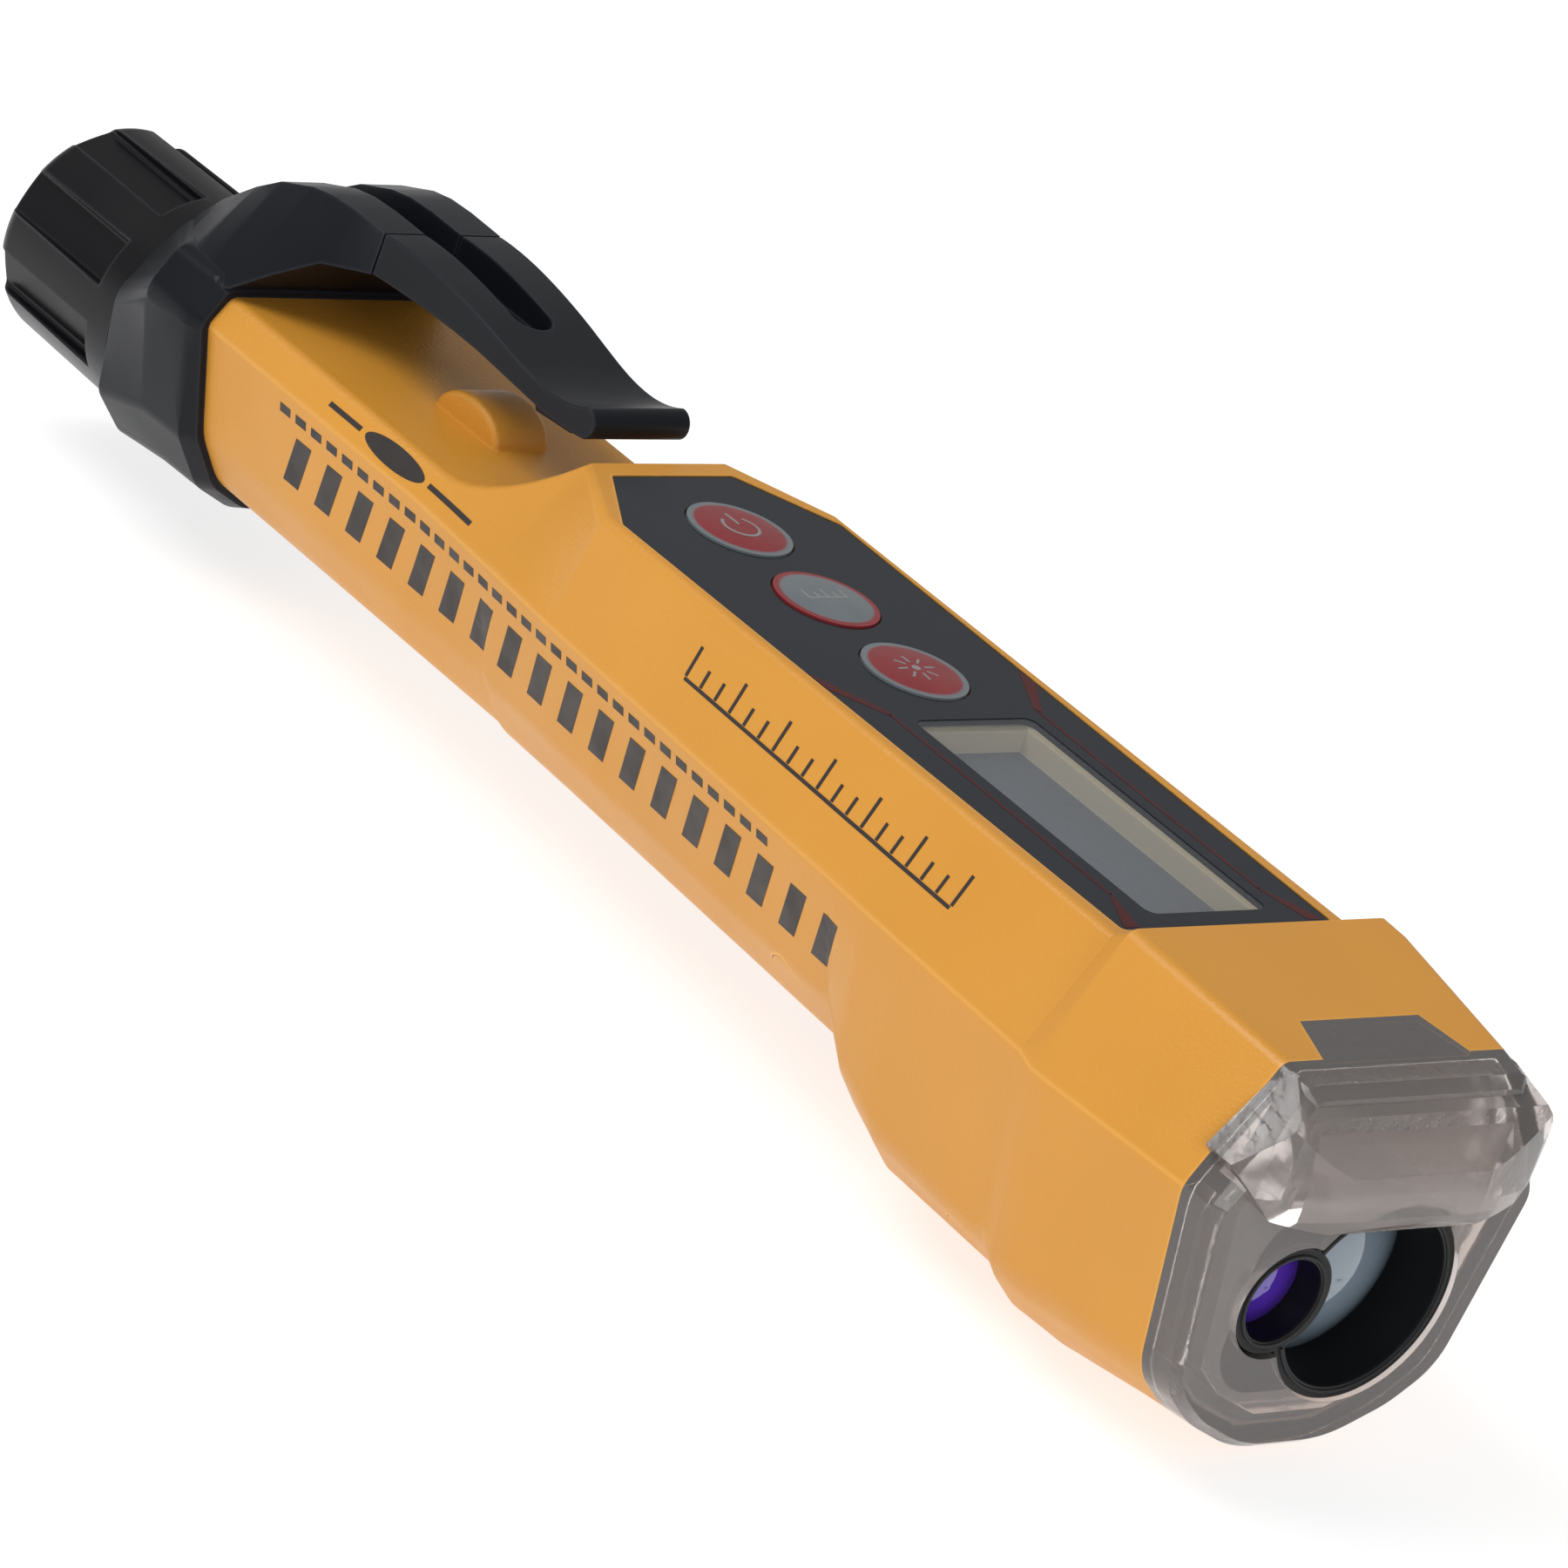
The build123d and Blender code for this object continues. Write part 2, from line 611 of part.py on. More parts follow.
contact_thickness = 0.4
with BuildPart() as front_contact:
    with BuildSketch(on_axis(tube_front_y + 1.5)):
        Circle(4.8)
    extrude(amount=-contact_thickness)
    with BuildSketch(on_axis(tube_front_y + 1.5 + contact_thickness)):
        Circle(1.5)
    extrude(amount=-(cells_front_y - tube_front_y - 1.5 - contact_thickness))
    with BuildSketch(across(tube_front_y + 1.5)):
        with Locations((0, axis_z + 3.0)):
            Rectangle(2.0, 2.0)
    extrude(amount=3.0)
front_contact.part.label = "front_contact"
export_step(front_contact.part, "parts/front_contact.step")

cell_fronts = [cells_front_y, cells_front_y + cell_length]
for name, front in zip(["battery_front", "battery_rear"], cell_fronts):
    with BuildPart() as cell:
        with BuildSketch(on_axis(front)):
            Circle(nub_radius)
        extrude(amount=-nub_length)
        with BuildSketch(on_axis(front + nub_length)):
            Circle(cell_radius)
        extrude(amount=-(cell_length - nub_length))
        fillet(cell.edges().filter_by(GeomType.CIRCLE).group_by(SortBy.RADIUS)[-1], 0.5)
    cell.part.label = name
    export_step(cell.part, f"parts/{name}.step")
cells_rear_y = cells_front_y + 2 * cell_length

with BuildPart() as contact_strip:
    with BuildSketch(Plane.YZ):
        with BuildLine():
            Polyline((neck_front_y - 0.3, 25.3), (3.0, 25.3), (1.0, 27.6), (-4.0, 27.6), (-4.0, 27.3),
                     (0.8, 27.3), (2.8, 25.0), (neck_front_y - 0.3, 25.0), close=True)
        make_face()
    extrude(amount=1.5, both=True)
contact_strip.part.label = "contact_strip"
export_step(contact_strip.part, "parts/contact_strip.step")

# ---------------------------------------------------------------- screw cap
flute_count = 8
flute_front_y = 73.8
flute_width = 4.3
flute_floor_radius = 9.15
with BuildPart() as battery_cap:
    with BuildSketch(on_axis(cap_front_y)):
        Circle(cap_radius)
    extrude(amount=-(flute_front_y - cap_front_y))
    with BuildSketch(on_axis(flute_front_y)) as lobes:
        Circle(cap_radius)
        with PolarLocations(cap_radius + 1.0, flute_count, start_angle=22.5):
            Rectangle(2 * (cap_radius + 1.0 - flute_floor_radius), flute_width, mode=Mode.SUBTRACT)
        fillet(lobes.vertices(), 0.4)
    extrude(amount=-(cap_end_y - flute_front_y))
    with BuildSketch(Plane.YZ):
        with BuildLine():
            cap_front = Line((cap_front_y, axis_z), (cap_front_y, axis_z + cap_radius - 0.3))
            cap_lip = Line(cap_front @ 1, (cap_front_y + 0.3, axis_z + cap_radius))
            cap_side = Line(cap_lip @ 1, (cap_end_y - 2.0, axis_z + cap_radius - 0.3))
            cap_round = TangentArc(cap_side @ 1, (cap_end_y, axis_z + cap_radius - 2.4), tangent=cap_side % 1)
            cap_back = Line(cap_round @ 1, (cap_end_y, axis_z))
            Line(cap_back @ 1, cap_front @ 0)
        make_face()
    revolve(axis=Axis((0, 0, axis_z), (0, 1, 0)), mode=Mode.INTERSECT)
    with BuildSketch(on_axis(cap_front_y)):
        Circle(neck_radius + fit_gap)
    extrude(amount=-(cap_floor_y - cap_front_y), mode=Mode.SUBTRACT)
    with BuildSketch(on_axis(cap_front_y)):
        Circle(9.9)
        Circle(8.9, mode=Mode.SUBTRACT)
    extrude(amount=-0.8, mode=Mode.SUBTRACT)
battery_cap.part.label = "battery_cap"
export_step(battery_cap.part, "parts/battery_cap.step")

with BuildPart() as cap_seal:
    with BuildSketch(on_axis(shell_rear_y + 0.02)):
        Circle(9.85)
        Circle(8.95, mode=Mode.SUBTRACT)
    extrude(amount=-(cap_front_y + 0.8 - shell_rear_y - 0.02))
cap_seal.part.label = "cap_seal"
export_step(cap_seal.part, "parts/cap_seal.step")

plate_thickness = 0.5
with BuildPart() as cap_plate:
    with BuildSketch(on_axis(cap_floor_y - plate_thickness)):
        Circle(neck_radius)
    extrude(amount=-plate_thickness)
cap_plate.part.label = "cap_plate"
export_step(cap_plate.part, "parts/cap_plate.step")

spring_wire = 0.35
spring_front_y = cells_rear_y + 0.05
spring_length = cap_floor_y - plate_thickness - spring_front_y - 2 * spring_wire
with BuildPart() as cap_spring:
    with BuildLine():
        coil = Helix(pitch=spring_length / 4, height=spring_length, radius=3.8, cone_angle=0)
    with BuildSketch(Plane(origin=coil @ 0, z_dir=coil % 0)):
        Circle(spring_wire)
    sweep()
cap_spring_solid = Pos(0, spring_front_y + spring_wire, axis_z) * Rot(-90, 0, 0) * cap_spring.part
cap_spring_solid.label = "cap_spring"
export_step(cap_spring_solid, "parts/cap_spring.step")

# ---------------------------------------------------------------- collar and pocket clip
collar_halves = [
    (shell_rear_y, [(6.4, 28.2), (11.6, 21.3), (10.1, 11.6), (6.3, 7.6), (2.2, 6.5)],
     [2.5, 3.5, 2.5, 2.5, 2.5]),
    (63.0, [(12.4, 29.4), (14.7, 25.2), (10.9, 13.6), (7.3, 8.9), (2.8, 6.7)],
     [2.0, 3.0, 3.0, 4.0, 4.0]),
    (57.5, [(12.2, 29.2), (14.4, 25.2), (10.9, 13.8), (7.2, 9.0), (2.8, 6.9)],
     [1.4, 2.0, 3.0, 4.0, 4.0]),
    (56.0, [(11.8, 28.4), (13.6, 25.1), (10.1, 14.3), (6.7, 9.7), (2.5, 7.6)],
     [1.0, 1.6, 3.0, 4.0, 4.0]),
]
arm_tip_y = 16.2
arm_root_z, arm_root_under_z = 39.0, 35.2
arm_top = [(clip_split_y, arm_root_z), (37.0, 38.8), (31.0, 37.9), (25.5, 36.9), (21.5, 36.7), (17.6, 37.7)]
arm_under = [(17.0, 35.1), (20.5, 34.8), (25.5, 35.0), (31.5, 35.5), (38.0, 35.6),
             (clip_split_y, arm_root_under_z)]
arm_half = [(5.2, arm_tip_y - 1), (5.4, 25.0), (6.3, clip_split_y)]
# Stations of the hood that carries the arm: y, half width and height of its crest, then the
# half width and height of its lower edge.
hood_stations = [
    (clip_split_y, 6.3, arm_root_z, 6.3, arm_root_under_z),
    (50.5, 6.4, 39.0, 8.2, 33.9),
    (53.5, 6.5, 38.8, 10.2, 31.2),
    (56.0, 6.6, 38.3, 12.0, 28.6),
    (60.0, 6.6, 36.8, 13.3, 26.6),
    (63.0, 6.4, 34.8, 13.7, 25.6),
    (67.0, 6.0, 31.6, 11.8, 24.0),
    (shell_rear_y, 5.4, 28.7, 9.4, 23.0),
]
slot_front_y, slot_rear_y = 31.0, 68.0
slot_width = 4.0
slot_floor_z = 36.3
throat_floor_z = 35.0

with BuildPart() as slot_form:
    with BuildSketch(Plane.XY.offset(slot_floor_z)):
        with Locations((0, (slot_front_y + slot_rear_y) / 2)):
            SlotOverall(slot_rear_y - slot_front_y, slot_width, rotation=90)
    extrude(amount=8.0)
    with BuildSketch(Plane.XY.offset(throat_floor_z)):
        with Locations((0, (clip_split_y + 6.0 + slot_rear_y) / 2)):
            Rectangle(slot_width, slot_rear_y - clip_split_y - 6.0)
    extrude(amount=8.0)

with BuildPart() as hood_form:
    for y, crest_x, crest_z, edge_x, edge_z in hood_stations:
        with BuildSketch(across(y)):
            with BuildLine():
                Polyline(*mirrored([(crest_x, crest_z), (edge_x, edge_z)]), close=True)
            make_face()
    loft(ruled=True)

with BuildPart() as clip_collar:
    for y, half, radii in collar_halves:
        with BuildSketch(across(y)):
            with BuildLine():
                FilletPolyline(*mirrored(half), radius=radii + radii[::-1], close=True)
            make_face()
    loft(ruled=True)
    add(hood_form.part)
    add(slot_form.part, mode=Mode.SUBTRACT)
    add(casing_form.part, mode=Mode.SUBTRACT)
    split(bisect_by=Plane.XZ.offset(-clip_split_y - clip_gap), keep=Keep.BOTTOM)
clip_collar.part.label = "clip_collar"
export_step(clip_collar.part, "parts/clip_collar.step")

with BuildPart() as pocket_clip:
    with BuildSketch(Plane.YZ):
        with BuildLine():
            Spline(*arm_top)
            ThreePointArc(arm_top[-1], (arm_tip_y, 36.8), arm_under[0])
            Spline(*arm_under)
            Line(arm_under[-1], arm_top[0])
        make_face()
    extrude(amount=12.0, both=True)
    with BuildSketch(Plane.XY):
        with BuildLine():
            Polyline(*mirrored(arm_half), close=True)
        make_face()
    extrude(amount=50.0, mode=Mode.INTERSECT)
    add(slot_form.part, mode=Mode.SUBTRACT)
    with BuildSketch(Plane.YZ):
        with BuildLine():
            Polyline((26.5, 35.6), (19.0, 35.6), (19.5, 34.3), (20.5, 33.8), (25.2, 33.4), close=True)
        make_face()
    extrude(amount=3.4, both=True)
pocket_clip.part.label = "pocket_clip"
export_step(pocket_clip.part, "parts/pocket_clip.step")
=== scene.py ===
# %% [markdown]
# # A non contact voltage tester, finished in Blender
# The tester is a yellow pen-shaped tool with a display, three buttons, a clear sensing tip, a black
# pocket clip and a screw cap over its two cells. The sizes and the moving bodies come from the packed
# frame, so every piece here is placed by asking the frame where its neighbours are.

import bmesh
import bpy
import json
import math
from mathutils import Matrix, Vector
from mathutils.bvhtree import BVHTree


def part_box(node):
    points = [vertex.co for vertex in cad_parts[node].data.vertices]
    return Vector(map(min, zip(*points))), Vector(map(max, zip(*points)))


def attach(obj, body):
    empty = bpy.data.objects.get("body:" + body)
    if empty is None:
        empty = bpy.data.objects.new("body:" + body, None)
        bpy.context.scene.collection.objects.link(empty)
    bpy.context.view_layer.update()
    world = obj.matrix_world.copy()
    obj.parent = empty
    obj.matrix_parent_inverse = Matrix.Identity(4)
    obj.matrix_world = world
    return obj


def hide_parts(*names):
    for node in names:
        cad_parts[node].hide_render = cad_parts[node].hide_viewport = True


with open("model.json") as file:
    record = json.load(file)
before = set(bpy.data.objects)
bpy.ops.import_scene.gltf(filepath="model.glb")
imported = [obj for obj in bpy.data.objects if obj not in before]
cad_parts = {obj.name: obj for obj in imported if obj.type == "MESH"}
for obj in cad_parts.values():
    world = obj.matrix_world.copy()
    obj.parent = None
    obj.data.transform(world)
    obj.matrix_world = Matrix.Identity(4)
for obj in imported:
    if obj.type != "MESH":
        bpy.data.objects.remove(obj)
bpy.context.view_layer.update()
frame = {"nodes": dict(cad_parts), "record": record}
nodes = frame["nodes"]
mm = 0.001

# %% [markdown]
# ## Where things are
# The printed marks, rings and icons sit on faces that the frame already has, so the few places they
# need are read from the nodes' boxes once and kept under plain names.

# %% Driving places
panel_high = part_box("label_panel")[1]
window_low, window_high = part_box("display_window")
holder_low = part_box("lens_holder")[0]
emitter_low, emitter_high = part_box("emitter_lens")
receiver_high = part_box("receiver_lens")[1]
neck_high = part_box("battery_tube")[1]
button_names = ["power_button", "unit_button", "laser_button"]


def middle(node):
    low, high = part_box(node)
    return (low + high) / 2


emitter_middle = middle("emitter_lens")
receiver_radius = 7.8 * mm
receiver_middle = Vector((receiver_high.x - receiver_radius, 0, receiver_high.z - receiver_radius))
neck_middle = middle("battery_tube")
print("panel top at", round(panel_high.z / mm, 2), "mm; eyes at",
      [round(v / mm, 2) for v in (emitter_middle.x, emitter_middle.z, receiver_middle.x, receiver_middle.z)])

# %% [markdown]
# ## Helpers for materials
# A moulded plastic is never one flat colour: the tool steel leaves a grain, the gloss drifts across a
# face, and handling polishes or pales the edges. The paler edges are also a painted highlight along
# them. Each of these is one small step here, and a finish adds the steps it needs. All patterns read
# Object coordinates, so they stay on the piece as it moves.


# %% Material steps
def finish_called(name, colour, roughness, metallic=0.0, ior=1.5, specular=0.5):
    material = bpy.data.materials.new(name)
    material.use_nodes = True
    shader = material.node_tree.nodes["Principled BSDF"]
    shader.inputs["Base Color"].default_value = (*colour, 1.0)
    shader.inputs["Roughness"].default_value = roughness
    shader.inputs["Metallic"].default_value = metallic
    shader.inputs["IOR"].default_value = ior
    shader.inputs["Specular IOR Level"].default_value = specular
    return material


def node_in(material, kind, **values):
    made = material.node_tree.nodes.new(kind)
    for name, value in values.items():
        setattr(made, name, value)
    return made


def join(material, out_socket, in_socket):
    material.node_tree.links.new(out_socket, in_socket)


def shader_of(material):
    return material.node_tree.nodes["Principled BSDF"]


def noise_of(material, feature, detail=2.0, stretch=(1, 1, 1)):
    """Noise whose blobs are about `feature` metres across."""
    place = node_in(material, "ShaderNodeTexCoord")
    turn = node_in(material, "ShaderNodeMapping")
    turn.inputs["Scale"].default_value = stretch
    noise = node_in(material, "ShaderNodeTexNoise")
    noise.inputs["Scale"].default_value = 1.0 / feature
    noise.inputs["Detail"].default_value = detail
    join(material, place.outputs["Object"], turn.inputs["Vector"])
    join(material, turn.outputs["Vector"], noise.inputs["Vector"])
    return noise.outputs["Fac"]


def ranged(material, value, low, high, from_low=0.3, from_high=0.7):
    span = node_in(material, "ShaderNodeMapRange")
    span.inputs["From Min"].default_value = from_low
    span.inputs["From Max"].default_value = from_high
    span.inputs["To Min"].default_value = low
    span.inputs["To Max"].default_value = high
    join(material, value, span.inputs["Value"])
    return span.outputs["Result"]


def add_grain(material, feature, depth, stretch=(1, 1, 1)):
    """Fine moulded or brushed texture, as a bump of real depth."""
    bump = node_in(material, "ShaderNodeBump")
    bump.inputs["Distance"].default_value = depth
    bump.inputs["Strength"].default_value = 1.0
    join(material, noise_of(material, feature, 3.0, stretch), bump.inputs["Height"])
    join(material, bump.outputs["Normal"], shader_of(material).inputs["Normal"])


def vary_gloss(material, feature, low, high):
    join(material, ranged(material, noise_of(material, feature), low, high),
         shader_of(material).inputs["Roughness"])


def blend_colours(material, factor, first, second):
    """Mixes two colours, each an RGB tuple or a socket."""
    mix = node_in(material, "ShaderNodeMix", data_type="RGBA")
    join(material, factor, mix.inputs["Factor"])
    for value, socket in ((first, mix.inputs["A"]), (second, mix.inputs["B"])):
        if isinstance(value, tuple):
            socket.default_value = (*value, 1.0)
        else:
            join(material, value, socket)
    return mix.outputs["Result"]


def edge_mask(material, radius):
    """0 on open faces, rising to 1 along sharp edges."""
    soft = node_in(material, "ShaderNodeBevel", samples=4)
    soft.inputs["Radius"].default_value = radius
    true = node_in(material, "ShaderNodeNewGeometry")
    dot = node_in(material, "ShaderNodeVectorMath", operation="DOT_PRODUCT")
    join(material, soft.outputs["Normal"], dot.inputs[0])
    join(material, true.outputs["Normal"], dot.inputs[1])
    return ranged(material, dot.outputs["Value"], 1.0, 0.0, 0.80, 0.99)


def moulded(name, colour, worn_and_highlight, roughness, grain, depth, specular=0.5, drift=0.06, wear_and_highlight_radius=0.5 * mm):
    """A moulded plastic: grain, drifting gloss and colour, and paler edges, partly rubbed wear and partly a
    painted highlight.
    """
    material = finish_called(name, colour, roughness, specular=specular)
    add_grain(material, grain, depth)
    vary_gloss(material, 14 * mm, roughness - drift, roughness + drift)
    shade = tuple(0.93 * c for c in colour)
    body = blend_colours(material, ranged(material, noise_of(material, 22 * mm), 0.0, 1.0), shade, colour)
    # The edges are blended to the paler colour, which is partly wear and partly a painted highlight along
    # them.
    join(material, blend_colours(material, edge_mask(material, wear_and_highlight_radius), body, worn_and_highlight),
         shader_of(material).inputs["Base Color"])
    return material


print("material steps ready")

# %% [markdown]
# ## The finishes
# The case is a warm yellow plastic, satin with a fine grain. The clip and collar are black with a
# slightly blue satin sheen, and the cap is a smoother, deeper black. The tip is smoky clear plastic.

# %% Plastics
# The second colour of each plastic is its paler edge colour, partly wear and partly a painted highlight.
yellow = moulded("case_yellow", (0.665, 0.295, 0.034), (0.76, 0.38, 0.065), 0.42, 0.34 * mm, 0.050 * mm, 0.4)
black = moulded("clip_black", (0.0075, 0.0085, 0.0115), (0.024, 0.026, 0.034), 0.36, 0.16 * mm,
                0.006 * mm, 0.15)
cap_black = moulded("cap_black", (0.0045, 0.0045, 0.0058), (0.040, 0.040, 0.046), 0.30, 0.30 * mm,
                    0.004 * mm, 0.22)
holder_black = moulded("holder_black", (0.005, 0.005, 0.006), (0.03, 0.03, 0.03), 0.45, 0.12 * mm,
                       0.008 * mm, 0.2)
nylon = moulded("natural_nylon", (0.55, 0.54, 0.50), (0.66, 0.65, 0.60), 0.5, 0.4 * mm, 0.01 * mm)
cream = moulded("display_cream", (0.52, 0.45, 0.31), (0.60, 0.52, 0.38), 0.55, 0.2 * mm, 0.006 * mm)
rubber = moulded("seal_rubber", (0.02, 0.02, 0.02), (0.05, 0.05, 0.05), 0.7, 0.15 * mm, 0.01 * mm)
beeper_black = moulded("beeper_black", (0.014, 0.014, 0.015), (0.05, 0.05, 0.05), 0.5, 0.3 * mm, 0.008 * mm)
print("plastics:", yellow.name, black.name, cap_black.name, holder_black.name)

# %% [markdown]
# ## Clear plastic and coated glass
# The tip is one smoky clear moulding, the two eyes are coated glass, and a thin clear window covers
# the display. Each could be plain glass, but a moulding scatters a little light, so the tip keeps a
# small share of solid colour and a drifting gloss. The window is made see-through by its alpha, since
# a sheet this thin hardly bends light.


# %% Clear pieces
def clear(name, tint, roughness, ior, transmission=1.0):
    material = finish_called(name, tint, roughness, ior=ior)
    shader_of(material).inputs["Transmission Weight"].default_value = transmission
    return material


smoky = clear("tip_smoky_clear", (0.78, 0.71, 0.68), 0.05, 1.49, 0.88)
vary_gloss(smoky, 5 * mm, 0.05, 0.20)
add_grain(smoky, 0.9 * mm, 0.030 * mm)
violet = clear("violet_lens", (0.16, 0.05, 0.75), 0.03, 1.6, 0.55)
shader_of(violet).inputs["Coat Weight"].default_value = 0.8
add_grain(violet, 2.0 * mm, 0.001 * mm)
receiver_coat = clear("receiver_lens_coat", (0.30, 0.38, 0.46), 0.04, 1.6, 0.45)
shader_of(receiver_coat).inputs["Coat Weight"].default_value = 0.9
add_grain(receiver_coat, 2.5 * mm, 0.001 * mm)
window_clear = finish_called("window_clear", (0.40, 0.43, 0.46), 0.04, specular=0.35)
shader_of(window_clear).inputs["Alpha"].default_value = 0.16
add_grain(window_clear, 4.0 * mm, 0.001 * mm)
resin_red = clear("tip_light_resin", (0.85, 0.20, 0.16), 0.12, 1.5, 0.5)
add_grain(resin_red, 0.6 * mm, 0.004 * mm)
print("clear finishes:", smoky.name, violet.name, receiver_coat.name)

# %% [markdown]
# ## Panel, buttons and display
# The label panel is a glossy dark slate sheet. Each button is a small dome with a printed disc and a
# ring of another colour round it: the ring is a circle of fixed radius about the button's own centre,
# so it is drawn by a distance in the material, not by more mesh.

# %% Panel and button finishes
slate = finish_called("panel_slate", (0.013, 0.015, 0.021), 0.16, specular=0.13)
vary_gloss(slate, 9 * mm, 0.12, 0.22)
add_grain(slate, 0.5 * mm, 0.0015 * mm)
crimson = finish_called("trim_crimson", (0.070, 0.007, 0.008), 0.3, specular=0.13)
vary_gloss(crimson, 4 * mm, 0.24, 0.36)
add_grain(crimson, 0.3 * mm, 0.002 * mm)
ink = finish_called("print_ink", (0.020, 0.014, 0.012), 0.5)
vary_gloss(ink, 3 * mm, 0.42, 0.58)
add_grain(ink, 0.25 * mm, 0.006 * mm)
icon_ink = finish_called("icon_ink", (0.26, 0.25, 0.25), 0.4, specular=0.2)
vary_gloss(icon_ink, 2 * mm, 0.32, 0.48)
add_grain(icon_ink, 0.2 * mm, 0.002 * mm)
display_grey = finish_called("display_grey", (0.070, 0.078, 0.092), 0.28, specular=0.2)
vary_gloss(display_grey, 6 * mm, 0.22, 0.34)
add_grain(display_grey, 0.35 * mm, 0.001 * mm)


def button_finish(name, node, disc, ring, ring_radius=4.0 * mm, soft=0.12 * mm):
    material = finish_called(name, disc, 0.30, specular=0.3)
    centre = middle(node)
    place = node_in(material, "ShaderNodeTexCoord")
    shift = node_in(material, "ShaderNodeMapping")
    shift.inputs["Location"].default_value = (-centre.x, -centre.y, 0)
    shift.inputs["Scale"].default_value = (1, 1, 0)
    reach = node_in(material, "ShaderNodeVectorMath", operation="LENGTH")
    join(material, place.outputs["Object"], shift.inputs["Vector"])
    join(material, shift.outputs["Vector"], reach.inputs[0])
    past = ranged(material, reach.outputs["Value"], 0.0, 1.0, ring_radius - soft, ring_radius + soft)
    tone = ranged(material, noise_of(material, 3 * mm), 0.0, 1.0)
    mottled = blend_colours(material, tone, tuple(0.9 * c for c in disc), disc)
    join(material, blend_colours(material, past, mottled, ring), shader_of(material).inputs["Base Color"])
    vary_gloss(material, 2.5 * mm, 0.24, 0.36)
    add_grain(material, 0.25 * mm, 0.003 * mm)
    return material


button_red, button_grey = (0.24, 0.022, 0.026), (0.150, 0.170, 0.185)
button_finishes = {
    "power_button": button_finish("power_red", "power_button", button_red, button_grey),
    "unit_button": button_finish("unit_grey", "unit_button", button_grey, button_red),
    "laser_button": button_finish("laser_red", "laser_button", button_red, button_grey),
}
print("button finishes:", sorted(button_finishes))


# %% [markdown]
# ## Metals and boards inside
# The inside only shows when a cover is off, yet each piece keeps its own finish: drawn cans and strips
# have stretched fine lines, the board has a woven look under its lacquer, and the cells a plain jacket.

# %% Metals, board and cells
def metal(name, colour, roughness, grain=0.2 * mm, depth=0.003 * mm, stretch=(1, 0.1, 1)):
    material = finish_called(name, colour, roughness, metallic=1.0)
    add_grain(material, grain, depth, stretch)
    vary_gloss(material, 3 * mm, roughness - 0.06, roughness + 0.08)
    return material


zinc = metal("screw_zinc", (0.56, 0.56, 0.57), 0.30)
spring_wire = metal("spring_wire", (0.60, 0.60, 0.62), 0.24)
gilt = metal("contact_brass", (0.80, 0.62, 0.32), 0.28)
can_gilt = metal("sensor_can", (0.78, 0.64, 0.36), 0.25)
switch_steel = metal("switch_steel", (0.58, 0.58, 0.58), 0.34)
jacket = metal("cell_jacket", (0.30, 0.33, 0.37), 0.38, 0.4 * mm, 0.002 * mm)
board_green = finish_called("board_green", (0.020, 0.130, 0.055), 0.30)
add_grain(board_green, 0.5 * mm, 0.010 * mm, (1, 3, 1))
vary_gloss(board_green, 4 * mm, 0.22, 0.40)
print("metals:", zinc.name, gilt.name, jacket.name)

# %% [markdown]
# ## Camera
# The tester is seen from above its clear tip, a little to the side, with a long lens that keeps its
# sides nearly parallel. The camera is placed from two angles and a roll about its own line of sight.

# %% Camera
aim = Vector((-0.0005, -0.0131, 0.0198))
camera_azimuth, camera_height, camera_roll = math.radians(-46.61), math.radians(22.23), math.radians(20.21)
camera_distance = 0.716
back = Vector((math.sin(camera_azimuth) * math.cos(camera_height),
               -math.cos(camera_azimuth) * math.cos(camera_height), math.sin(camera_height)))
right = Vector((0, 0, 1)).cross(back).normalized()
up = back.cross(right)
rolled_right = math.cos(camera_roll) * right + math.sin(camera_roll) * up
rolled_up = -math.sin(camera_roll) * right + math.cos(camera_roll) * up
camera = bpy.data.objects.new("camera", bpy.data.cameras.new("camera"))
camera.data.lens = 204.7
camera.data.sensor_width = 36.0
camera.data.clip_start = 0.01
camera.matrix_world = Matrix.Translation(aim + camera_distance * back) @ Matrix(
    (rolled_right, rolled_up, back)).transposed().to_4x4()
bpy.context.scene.collection.objects.link(camera)
bpy.context.scene.camera = camera
bpy.context.scene.view_settings.view_transform = "Standard"
print("camera at", [round(v, 3) for v in camera.matrix_world.translation])

# %% [markdown]
# ## Light and floor
# Two large soft boxes and a pale surround give the satin faces broad, gentle highlights. The floor
# takes most of its white from a glow of its own, so the tester's shadow on it stays faint.


# %% Light and floor
def soft_box(name, place, size, power, target=(0, 0, 0.02)):
    lamp = bpy.data.lights.new(name, "AREA")
    lamp.size = size
    lamp.energy = power
    made = bpy.data.objects.new(name, lamp)
    made.location = place
    made.rotation_euler = (Vector(target) - Vector(place)).to_track_quat("-Z", "Y").to_euler()
    bpy.context.scene.collection.objects.link(made)
    return made


surround = bpy.data.worlds.new("surround")
surround.use_nodes = True
surround.node_tree.nodes["Background"].inputs["Color"].default_value = (1.0, 1.0, 1.0, 1.0)
surround.node_tree.nodes["Background"].inputs["Strength"].default_value = 0.42
bpy.context.scene.world = surround
soft_box("key_box", (-0.45, 0.25, 0.75), 0.5, 4.2)
soft_box("front_box", (-0.35, -0.75, 0.35), 0.5, 2.3)
floor_mesh = bpy.data.meshes.new("floor")
reach = 6.0
floor_mesh.from_pydata([(-reach, -reach, 0), (reach, -reach, 0), (reach, reach, 0), (-reach, reach, 0)],
                       [], [(0, 1, 2, 3)])
floor = bpy.data.objects.new("floor", floor_mesh)
floor_pale = finish_called("floor_pale", (0.45, 0.45, 0.45), 0.8)
shader_of(floor_pale).inputs["Emission Color"].default_value = (1.0, 1.0, 1.0, 1.0)
shader_of(floor_pale).inputs["Emission Strength"].default_value = 0.72
add_grain(floor_pale, 20 * mm, 0.05 * mm)
floor_mesh.materials.append(floor_pale)
bpy.context.scene.collection.objects.link(floor)
print("light and floor ready")

